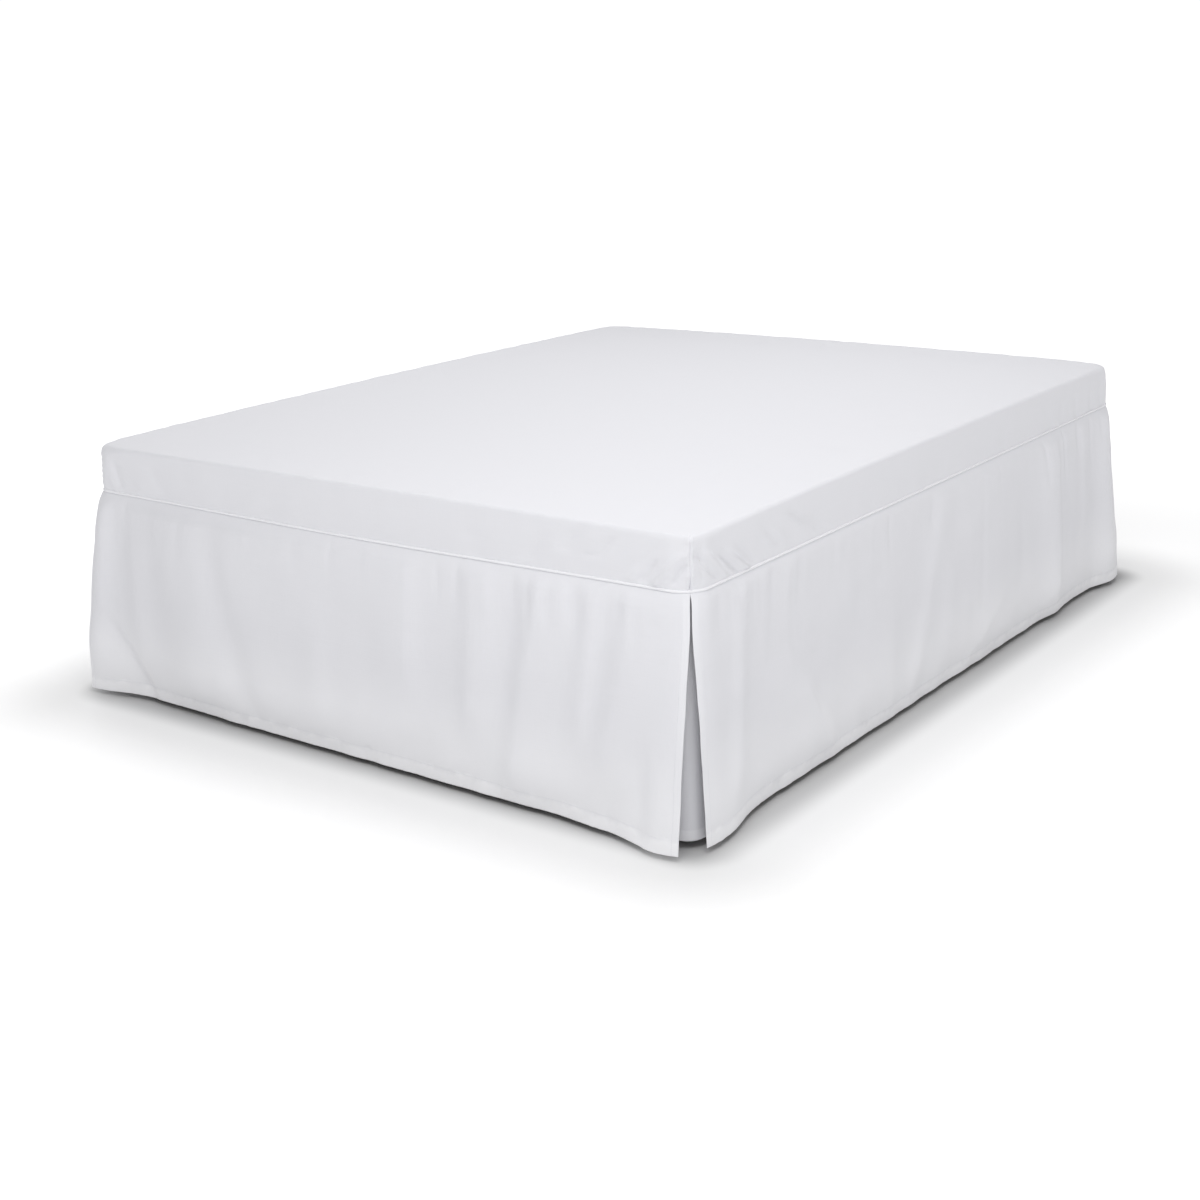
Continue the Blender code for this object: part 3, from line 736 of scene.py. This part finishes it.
# The folds that hang from the seam, in the same columns as the creases of the drops.
FOLDS = {
    "front": (
        (-0.748, -0.012, -0.1, 0.7, 0.032, 0.02, 0.0145),
        (-0.662, 0.02, 0.0, 0.65, 0.03, 0.04, 0.009),
        (-0.89, 0.26, 0.45, 0.86, 0.03, 0.017, -0.0085),
        (-0.53, 0.106, -0.1, 0.78, 0.09, 0.2, 0.015),
        (-0.412, 0.128, -0.1, 0.78, 0.046, 0.042, -0.0095),
        (-0.39, 0.0, -0.1, 0.75, 0.26, 0.6, 0.023),
        (-0.33, 0.02, 0.72, 0.9, 0.014, 0.016, 0.0025),
        (-0.125, 0.055, 0.25, 0.75, 0.07, 0.034, 0.005),
        (0.145, 0.0, -0.15, 0.45, 0.09, 0.032, 0.01),
        (0.322, -0.004, -0.15, 0.6, 0.036, 0.05, 0.0125),
        (0.478, -0.058, -0.2, 0.8, 0.04, 0.08, 0.0175),
        (0.56, -0.02, -0.3, 0.1, 0.016, 0.02, -0.005),
        (0.598, -0.045, -0.2, 0.5, 0.032, 0.022, 0.01),
        (0.684, -0.055, -0.25, 0.65, 0.04, 0.05, 0.0135),
        (0.716, 0.0, 0.52, 0.85, 0.02, 0.018, -0.008),
    ),
    "right": (
        (-0.85, -0.06, -0.2, 0.75, 0.022, 0.03, 0.009),
        (-0.775, 0.03, -0.25, 0.2, 0.02, 0.02, 0.0065),
        (-0.68, 0.0, -0.25, 0.12, 0.024, 0.045, 0.0036),
        (-0.785, 0.263, 0.35, 0.82, 0.11, 0.038, 0.016),
        (-0.3, 0.01, 0.4, 0.8, 0.11, 0.08, 0.009),
        (-0.01, -0.178, -0.1, 0.8, 0.032, 0.05, 0.008),
        (0.01, 0.0, 0.2, 0.7, 0.06, 0.06, 0.005),
        (0.69, -0.62, 0.6, 0.85, 0.045, 0.034, 0.0036),
        (0.24, 0.0, -0.1, 0.8, 0.2, 0.16, 0.014),
        (0.58, -0.01, -0.1, 0.8, 0.06, 0.032, 0.012),
        (0.56, 0.0, -0.1, 0.8, 0.12, 0.2, 0.012),
        (0.928, -0.02, -0.15, 0.8, 0.034, 0.03, 0.014),
        (0.79, 0.01, -0.25, 0.45, 0.02, 0.026, 0.004),
    ),
    "back": (
        (-0.56, 0.06, 0.05, 1.3, 0.055, 0.044, -0.013),
        (-0.43, 0.11, 0.1, 0.8, 0.022, 0.03, 0.0047),
        (-0.18, 0.03, 0.1, 1.3, 0.046, 0.052, -0.0065),
        (0.06, -0.09, 0.4, 1.3, 0.028, 0.024, -0.0051),
        (0.24, -0.04, 0.1, 1.3, 0.05, 0.046, 0.0065),
        (0.47, -0.05, 0.02, 1.3, 0.044, 0.054, -0.013),
        (0.66, -0.12, 0.05, 0.7, 0.024, 0.02, 0.0061),
    ),
    "left": (
        (-0.78, 0.05, 0.05, 1.3, 0.054, 0.046, -0.013),
        (-0.56, 0.12, 0.3, 1.3, 0.026, 0.032, -0.0057),
        (-0.33, 0.06, 0.1, 1.3, 0.048, 0.05, -0.0076),
        (-0.08, 0.09, 0.05, 0.7, 0.026, 0.022, 0.0051),
        (0.15, -0.04, 0.1, 1.3, 0.052, 0.046, 0.0065),
        (0.39, -0.11, 0.35, 1.3, 0.024, 0.03, -0.0051),
        (0.6, -0.06, 0.05, 1.3, 0.046, 0.052, -0.013),
        (0.86, -0.08, 0.0, 0.8, 0.03, 0.024, 0.0065),
    ),
}

# Where short puckers start under the piping, and their depths as shares of PUCKER_DEPTH.
PUCKER_DEPTH = 0.0026
PUCKERS = {
    "front": (
        (-0.69, -0.9), (-0.575, 0.6), (-0.5, -0.7), (-0.3, 0.5), (-0.16, -0.6), (-0.055, -0.8),
        (0.049, 0.6), (0.224, -0.9), (0.274, -0.7), (0.347, 0.8), (0.407, -0.9), (0.449, -1.3),
        (0.496, -1.4), (0.541, -1.5), (0.596, -1.4), (0.653, -1.2), (0.69, -1.0), (0.732, 0.8),
    ),
    "right": (
        (-0.956, 0.9), (-0.921, -1.1), (-0.861, -1.4), (-0.78, -1.5), (-0.738, -1.2),
        (-0.636, -0.9), (-0.48, 0.8), (-0.267, -0.7), (-0.067, -0.9), (0.269, -0.8), (0.53, -1.1),
        (0.655, -1.2), (0.752, -1.4), (0.839, -1.3), (0.901, -1.1),
    ),
    "back": ((-0.7, -1.0), (-0.61, 0.8), (-0.35, -0.9), (0.12, -0.8), (0.48, -1.1), (0.69, -1.2)),
    "left": ((-0.9, -1.1), (-0.64, -0.8), (-0.21, 0.7), (0.33, -0.9), (0.71, -1.2), (0.88, -1.0)),
}


def hem_flare(side, along):
    """How far the hem stands out along a side: a straight rise with the swings' bells on it."""
    hung = HANGS[side.name]
    across = (along / side.half + 1.0) / 2.0
    flare = hung.flare_left + (hung.flare_right - hung.flare_left) * across
    for swing in SWINGS[side.name]:
        flare = flare + swing.reach * bell(along - swing.place, swing.half_width)
    return flare


def long_ripples(rng, half):
    """Faint upright ripples of the hanging cloth, unequal in width, length and depth."""
    ripples = []
    for place in strewn_places(rng, RIPPLES_A_METRE, 0.5, half):
        width = rng.uniform(0.014, 0.040)
        start = rng.choice((0.0, 0.0, 0.1, 0.3, 0.5))
        end = start + rng.uniform(0.2, 0.7)
        depth = rng.uniform(0.0004, 0.0016) * rng.choice((-1.0, 1.0))
        lean = rng.uniform(-0.03, 0.03)
        ripples.append((place, lean, start, end, width, rng.uniform(0.7, 1.5) * width, depth))
    return ripples


LONG_WAVES = waves(rng, 24, 0.20, 0.50)
HEM_WAVES = waves(rng, 16, 0.045, 0.30)
BAND_WAVES = waves(rng, 16, 0.040, 0.080)


def panel_whiteness_and_painted_light(drop, above_hem, end_band, wavering):
    """Whiter colour of a panel: its threefold hems in patches, and painted light there and low
    down.
    """
    hem = smooth((HEM_DEPTH - STITCHED_BELOW + 0.0035 * wavering - above_hem) / 0.009)
    # The hems are whiter, partly for their three layers and partly as painted light off the floor.
    whiter = hem * (HEM_WHITER_AND_PAINTED_LIGHT + HEM_PATCHES * wavering)
    # Painted light off the floor: whiter towards the foot and over the lower half.
    whiter = whiter + FOOT_PAINTED_LIGHT * smooth(1.0 - above_hem / HEM_DEPTH)
    whiter = whiter + LOW_PAINTED_LIGHT * smooth((drop - LIT_FROM) / LIT_FROM)
    return np.maximum(whiter, END_HEM_WHITER * end_band)


def panel_surface(side, ripples, share, angle, drop):
    """Where a side's panel hangs, where that was in the flat cut, and its whiter hems and painted
    light.

    It leaves the seam's rounded line, rolls out over its allowance, and swings out towards the
    hem, mostly in the upper half. The flap at each end goes past the corner as well, by the
    square root of the drop. Folds, puckers and ripples are added outwards.
    """
    hung = HANGS[side.name]
    along, out = outline(side.half, share, angle, SEAM_CORNER_RADIUS, 0.0)
    apart = along + SIDES_APART * side.turns
    reach = smooth((np.abs(along) - side.half + FLAP_REACH) / FLAP_REACH)
    shift = np.where(along < 0.0, -hung.shift_left, hung.shift_right) * reach
    hang = (1.0 + FLARE_BEND) * drop - FLARE_BEND * drop**2
    roll = SEAM_ROLL * (drop / ROLL_DEPTH) * np.exp(1.0 - drop / ROLL_DEPTH)
    outward = out * (1.0 - hang) + hem_flare(side, along + shift) * hang
    outward = outward + side.swell * bow(share) * (1.0 - SWELL_LOSS * drop) + roll
    relief = creased(FOLDS[side.name], along, drop, bend=1.2, growth=0.30, fading=0.25)
    relief = relief + creased(ripples, along, drop, bend=2.0, growth=0.04, fading=0.18)
    outward = outward + relief * smooth(drop / 0.07)
    outward = outward + WANDER * uneven(LONG_WAVES, apart, drop) * smooth(drop / 0.25)
    off_base = outward - out * (1.0 - hang) + BASE_ROOM
    outward = outward - off_base + 0.5 * (off_base + np.sqrt(off_base**2 + BASE_SOFTNESS**2))
    top = SEAM_HEIGHT - side.sag * bow(share) - PIPING_DIAMETER / 2 - SEAM_GAP
    height = top + (HEM_HEIGHT - top) * drop

    # The hems: one step of two more cloths, drawn in a little where they are stitched.
    above_hem = (1.0 - drop) * (top - HEM_HEIGHT)
    corner = side.half - SEAM_CORNER_RADIUS * (1.0 - np.cos(pi / 4))
    to_end = np.abs(corner - np.abs(along))
    hem_band = smooth((HEM_DEPTH + STEP_WIDTH / 2 - above_hem) / STEP_WIDTH)
    end_band = smooth((END_HEM + END_STEP_WIDTH / 2 - to_end) / END_STEP_WIDTH)
    end_band = end_band * smooth(drop / 0.03)
    wavering = uneven(BAND_WAVES, apart, above_hem)
    gathers = bell(above_hem - HEM_DEPTH + STITCHED_BELOW, GATHER_WIDTH)
    gathers = gathers * uneven(HEM_WAVES, apart, above_hem) ** 2
    outward = outward + HEM_STEP * np.maximum(hem_band, end_band) - HEM_GATHER * gathers
    outward = outward + HEM_WAVER * wavering * hem_band

    sewn = bell(drop, 0.005)
    outward = outward - SEWN_IN * sewn
    height = height + SEWN_IN * sewn
    place = turn_to_side(side, along + shift * np.sqrt(drop), outward, height)
    turned_in = np.sign(along) * END_TURNED_IN * (np.abs(share) >= 1.0)
    flat = np.stack(np.broadcast_arrays(along + turned_in, above_hem), axis=-1)
    return place, flat, panel_whiteness_and_painted_light(drop, above_hem, end_band, wavering)


STITCH = 0.0028
STITCH_PITCH = 0.0034
STITCH_WIDTH = 0.0006
STITCH_LINE = 0.002


def stitched(name, rows):
    """Rows of stitches as one piece: small grains of thread that lie on the cloth.

    A row is given by its points and by others beside them, to its left. Each grain is a spindle
    of three rings of four points between two tips, laid along its row and proud of the cloth.
    """
    ring = np.repeat([0, 1, 2, 3, 4], (1, 4, 4, 4, 1))
    length = np.array([-0.5, -0.36, 0.0, 0.36, 0.5])[ring] * STITCH
    thick = np.array([0.0, 0.7, 1.0, 0.7, 0.0])[ring] * STITCH_WIDTH / 2
    spoke = np.concatenate([[0], np.tile(np.arange(4), 3), [0]]) * pi / 2
    grains = []
    for here, beside in rows:
        run = np.gradient(here, axis=0)
        run = run / np.linalg.norm(run, axis=1, keepdims=True)
        outward = np.cross(run, beside - here)
        outward = outward / np.linalg.norm(outward, axis=1, keepdims=True)
        across = np.cross(run, outward)
        middle = here + outward * (CLOTH / 2 + STITCH_WIDTH * 0.2)
        grain = middle[:, None] + run[:, None] * length[:, None]
        grain = grain + outward[:, None] * (thick * np.sin(spoke))[:, None]
        grains.append(grain + across[:, None] * (thick * np.cos(spoke))[:, None])
    grains = np.concatenate(grains)
    step = np.arange(4)
    after = np.roll(step, -1)
    tip = np.stack([np.zeros(4, int), 1 + step, 1 + after], axis=1)
    tail = np.stack([np.full(4, 13), 9 + after, 9 + step], axis=1)
    belt = np.stack([1 + after, 1 + step, 5 + step, 5 + after], axis=1)
    starts = 14 * np.arange(len(grains))[:, None, None]
    threes = (starts + np.concatenate([tip, tail])).reshape(-1, 3)
    fours = (starts + np.concatenate([belt, belt + 4])).reshape(-1, 4)
    mesh = bpy.data.meshes.new(name)
    mesh.from_pydata(grains.reshape(-1, 3), [], threes.tolist() + fours.tolist())
    mesh.shade_smooth()
    mesh.materials.append(thread)
    return put_in(name, mesh)


# Spun polyester sewing thread, cool white: smoother than the cloth, with a slight shine.
thread, tree, shader = finish_of("sewing thread", {"Roughness": 0.55, "Sheen Weight": 0.2})
place = add_node(tree, "ShaderNodeTexCoord").outputs["Object"]
fibres = add_node(
    tree, "ShaderNodeTexNoise", values={"Scale": 900.0, "Detail": 2.0}, links={"Vector": place}
)
tone = add_node(
    tree,
    "ShaderNodeMixRGB",
    values={"Color1": linear("#DCDDE2"), "Color2": linear("#EFEFF4")},
    links={"Fac": fibres.outputs["Fac"]},
)
tree.links.new(tone.outputs["Color"], shader.inputs["Base Color"])


# Rows lie closer under the piping and round the hem's stitching.
HEM_LINE = 1.0 - HEM_DEPTH / PANEL_DROP
PANEL_ROWS = np.concatenate(
    [
        [0.0, 0.0025, 0.0055, 0.009, 0.013, 0.019, 0.027, 0.036],
        np.linspace(0.047, HEM_LINE - 0.012, 60),
        HEM_LINE + np.array([-0.005, -0.0018, 0.0, 0.0018, 0.004, 0.007, 0.011]),
        np.linspace(HEM_LINE + 0.017, 0.992, 5),
        [0.997, 1.0],
    ]
)[:, None]


def stitch_rows(side, ripples):
    """One row of stitches along the hem and one up each end hem, with points to their left."""
    along_hem = np.linspace(-1.0, 1.0, int(2 * side.half / STITCH_PITCH))
    up_end = np.linspace(0.995, 0.02, int(0.45 / STITCH_PITCH))
    level, upright = np.zeros(len(along_hem)), np.zeros(len(up_end))
    hem = 1.0 - (HEM_DEPTH - STITCH_LINE) / PANEL_DROP
    line = np.arcsin(np.cos(pi / 4) - (END_HEM - 0.001) / SEAM_CORNER_RADIUS)
    stands = [((along_hem, level, level + hem), (along_hem, level, level + hem - 0.01))]
    for end in (-1.0, 1.0):
        bend = upright + end * line
        stands.append(((upright + end, bend, up_end), (upright + end, bend - 0.04, up_end)))
    return [[panel_surface(side, ripples, *stand)[0] for stand in pair] for pair in stands]


for side in SIDES:
    ripples = long_ripples(rng, side.half) + seam_puckers(rng, side.half, longest=0.10)
    for start, depth in PUCKERS[side.name]:
        width = rng.uniform(0.008, 0.014)
        length = rng.uniform(0.03, 0.15)
        ripples.append((start, 0.12, -0.02, length, width, 1.3 * width, PUCKER_DEPTH * depth))
    share, angle = stations(HANGS[side.name].columns, arc_steps=10, crowding=0.20)
    # A hair short of the corner, so that two panels never touch.
    angle = angle * (1.0 - 2.0 * SEAM_GAP / (SEAM_CORNER_RADIUS * pi / 4))
    surface = panel_surface(side, ripples, share, angle, PANEL_ROWS)
    panel = cloth_piece(f"hanging_panel_{side.name}", [[grid[::-1] for grid in surface]])
    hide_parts(f"skirt_{side.name}")
    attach(panel, "root")
    stitches = stitched(f"hem_stitches_{side.name}", stitch_rows(side, ripples))
    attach(stitches, "root")


# ---- Underlays ------------------------------------------------------------------------------
# Four short panels of the same cloth behind the open corners, sewn into the same seam, so that
# the base and the floor under it stay hidden. Each has its own narrow hem.

UNDERLAY_WING = 0.10
UNDERLAY_CORNER_FLARE = 0.042
UNDERLAY_WING_FLARE = 0.012
UNDERLAY_LEAN = 0.012
UNDERLAY_LIFT = 0.004
UNDERLAY_HEM = 0.020
UNDERLAY_STEP = 0.0004
UNDERLAY_INSIDE = CLOTH_ROOM + SEAM_GAP
HEM_WHITENESS = 0.3

# Its two soft creases, with the share of the drop over which each grows.
UNDERLAY_CREASES = (
    ((0.012, 0.020, 0.0, 2.0, 0.012, 0.012, 0.0016), 0.3),
    ((0.062, -0.015, 0.0, 2.0, 0.010, 0.010, -0.0014), 0.2),
)


def underlay_surface(angle, wing, drop):
    """Where the underlay of the corner at +X -Y hangs, from that corner's own centre.

    Its two wings run straight on from the corner's arc, and it flares out along the arc's
    normal, most at the corner and a little more on its first wing than on its second.
    """
    radius = SEAM_CORNER_RADIUS - UNDERLAY_INSIDE
    away_x, away_y = np.sin(angle), -np.cos(angle)
    flare = UNDERLAY_WING_FLARE + (UNDERLAY_CORNER_FLARE - UNDERLAY_WING_FLARE) * np.sin(2 * angle)
    flare = (flare + UNDERLAY_LEAN * np.cos(2 * angle)) * drop
    run = radius * angle + wing
    for crease, growth in UNDERLAY_CREASES:
        flare = flare + creased((crease,), run, drop, bend=1.0, growth=growth, fading=1.0)
    top = SEAM_HEIGHT - PIPING_DIAMETER / 2 - SEAM_GAP
    height = top + (HEM_HEIGHT + UNDERLAY_LIFT - top) * drop
    above_hem = (1.0 - drop) * (top - HEM_HEIGHT - UNDERLAY_LIFT) + 0.0 * run
    hem = smooth((UNDERLAY_HEM + STEP_WIDTH / 2 - above_hem) / STEP_WIDTH)
    flare = flare + UNDERLAY_STEP * (hem - bell(above_hem - UNDERLAY_HEM + 0.002, 0.0025))
    x = radius * away_x + np.minimum(wing, 0.0) + away_x * flare
    y = radius * away_y + np.maximum(wing, 0.0) + away_y * flare
    place = np.stack(np.broadcast_arrays(x, y, height), axis=-1)
    flat = np.stack(np.broadcast_arrays(run, above_hem), axis=-1)
    return place, flat, HEM_WHITENESS * hem


arc = np.linspace(0.0, pi / 2, 25)[1:-1]
reach = np.linspace(0.0, UNDERLAY_WING, 13)
angle = np.concatenate([0.0 * reach, arc, 0.0 * reach + pi / 2])
wing = np.concatenate([-reach[::-1], 0.0 * arc, reach])
# Rows lie closer round the hem's stitching.
drop = np.concatenate(
    [np.linspace(0.0, 0.94, 48), np.linspace(0.945, 0.965, 7), np.linspace(0.972, 1.0, 6)]
)
points, flat, whiteness_and_painted_light = underlay_surface(angle, wing, drop[:, None])
CENTRE = np.array([HALF_WIDTH - SEAM_CORNER_RADIUS, HALF_LENGTH - SEAM_CORNER_RADIUS, 0.0])
CORNERS = {
    "front_right": (1, -1, 0),
    "back_right": (1, 1, 0),
    "back_left": (-1, 1, 0),
    "front_left": (-1, -1, 0),
}
for (cosine, sine), (name, signs) in zip(QUARTER_TURNS, CORNERS.items()):
    turned = points @ np.array([[cosine, sine, 0], [-sine, cosine, 0], [0, 0, 1]])
    placed = turned + signs * CENTRE
    grid = (placed[::-1], flat[::-1], whiteness_and_painted_light[::-1])
    underlay = cloth_piece(f"corner_underlay_{name}", [grid])
    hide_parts(f"underlay_{name}")
    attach(underlay, "root")


# ---- Studio ---------------------------------------------------------------------------------
# A white sweep under three soft boxes, with white walls all round, as for a catalogue picture.
# The floor's glow is painted light: none close round the bed and more further off, so that the
# bed's shadow on it stays narrow and the floor far off is white.

# The painted glow by steps: the distances from the bed where each starts and ends, and its
# strength.
GLOWS = ((0.045, 0.12, 0.31), (0.10, 0.38, 0.20), (0.45, 2.20, 0.33))
# The painted glow's box sits a little towards +X, so that it starts nearer the bed on its left
# side.
GLOW_SHIFT = 0.015
WALL_LIGHT = 0.485
BACKDROP_LIGHT = 1.05

bpy.ops.mesh.primitive_plane_add(size=60.0, location=(0.0, 0.0, 0.0))
floor = bpy.context.active_object
floor.name = "studio_floor"
# The floor's emission is painted light, laid on by distance from the bed.
acrylic_with_painted_glow, tree, shader = finish_of(
    "opal acrylic floor",
    {
        "Base Color": linear("#CDCDCD"),
        "Emission Color": linear("#FFFFFF"),
        "Roughness": 0.6,
        "Specular IOR Level": 0.1,
    },
)
# How far a point lies outside the bed: past its half sizes, and none of it under the bed.
outside = add_node(tree, "ShaderNodeTexCoord").outputs["Object"]
for operation, operand in (
    ("SUBTRACT", (GLOW_SHIFT, 0.0, 0.0)),
    ("ABSOLUTE", (0.0, 0.0, 0.0)),
    ("SUBTRACT", (HALF_WIDTH - GLOW_SHIFT, HALF_LENGTH, 0.0)),
    ("MAXIMUM", (0.0, 0.0, 0.0)),
):
    step = add_node(
        tree, "ShaderNodeVectorMath", values={1: operand}, links={0: outside}, operation=operation
    )
    outside = step.outputs["Vector"]
distance = add_node(tree, "ShaderNodeVectorMath", links={0: outside}, operation="LENGTH")
ramps = [
    add_node(
        tree,
        "ShaderNodeMapRange",
        values={"From Min": start, "From Max": end, "To Min": 0.0, "To Max": strength},
        links={"Value": distance.outputs["Value"]},
        clamp=True,
        interpolation_type="SMOOTHSTEP",
    )
    for start, end, strength in GLOWS
]
glow = ramps[0].outputs["Result"]
for ramp in ramps[1:]:
    added = add_node(
        tree, "ShaderNodeMath", links={0: glow, 1: ramp.outputs["Result"]}, operation="ADD"
    )
    glow = added.outputs[0]
tree.links.new(glow, shader.inputs["Emission Strength"])
floor.data.materials.append(acrylic_with_painted_glow)

world = bpy.data.worlds.new("white studio")
bpy.context.scene.world = world
world.use_nodes = True
tree = world.node_tree
walls = tree.nodes["Background"]
walls.inputs["Color"].default_value = linear("#FEFEFF")
walls.inputs["Strength"].default_value = WALL_LIGHT
backdrop = add_node(
    tree, "ShaderNodeBackground", values={"Color": linear("#FFFFFF"), "Strength": BACKDROP_LIGHT}
)
seen = add_node(tree, "ShaderNodeLightPath")
either = add_node(
    tree,
    "ShaderNodeMixShader",
    links={0: seen.outputs["Is Camera Ray"], 1: walls.outputs[0], 2: backdrop.outputs[0]},
)
tree.links.new(either.outputs[0], tree.nodes["World Output"].inputs["Surface"])


def soft_box(name, place, aim, size, watts):
    """A square soft box that faces the point it is aimed at."""
    light = bpy.data.lights.new(name, "AREA")
    light.shape = "SQUARE"
    light.size = size
    light.energy = watts
    box = put_in(name, light)
    box.location = place
    box.visible_camera = False
    box.rotation_mode = "QUATERNION"
    box.rotation_quaternion = (Vector(aim) - Vector(place)).to_track_quat("-Z", "Y")


soft_box("near soft box", (1.25, -1.8, 2.5), (0.3, -0.5, 0.5), 1.6, 27.4)
soft_box("far soft box", (0.2, 0.6, 2.9), (0.1, 0.3, 0.5), 2.0, 24.0)
soft_box("left soft box", (-2.7, 0.2, 1.0), (-1.1, 0.0, 0.0), 1.2, 11.0)

# The camera: turned from +Y towards -X, tipped down, and rolled a little.
CAMERA_PLACE = (2.4032, -3.4492, 1.3646)
YAW, PITCH, ROLL = np.radians([36.355, 17.068, -1.648])
lens = bpy.data.cameras.new("catalogue camera")
lens.sensor_width = 36.0
lens.lens = 52.98
camera = put_in("catalogue camera", lens)
camera.matrix_world = (
    Matrix.Translation(CAMERA_PLACE)
    @ Matrix.Rotation(YAW, 4, "Z")
    @ Matrix.Rotation(pi / 2 - PITCH, 4, "X")
    @ Matrix.Rotation(ROLL, 4, "Z")
)
bpy.context.scene.camera = camera
bpy.context.scene.view_settings.view_transform = "Standard"
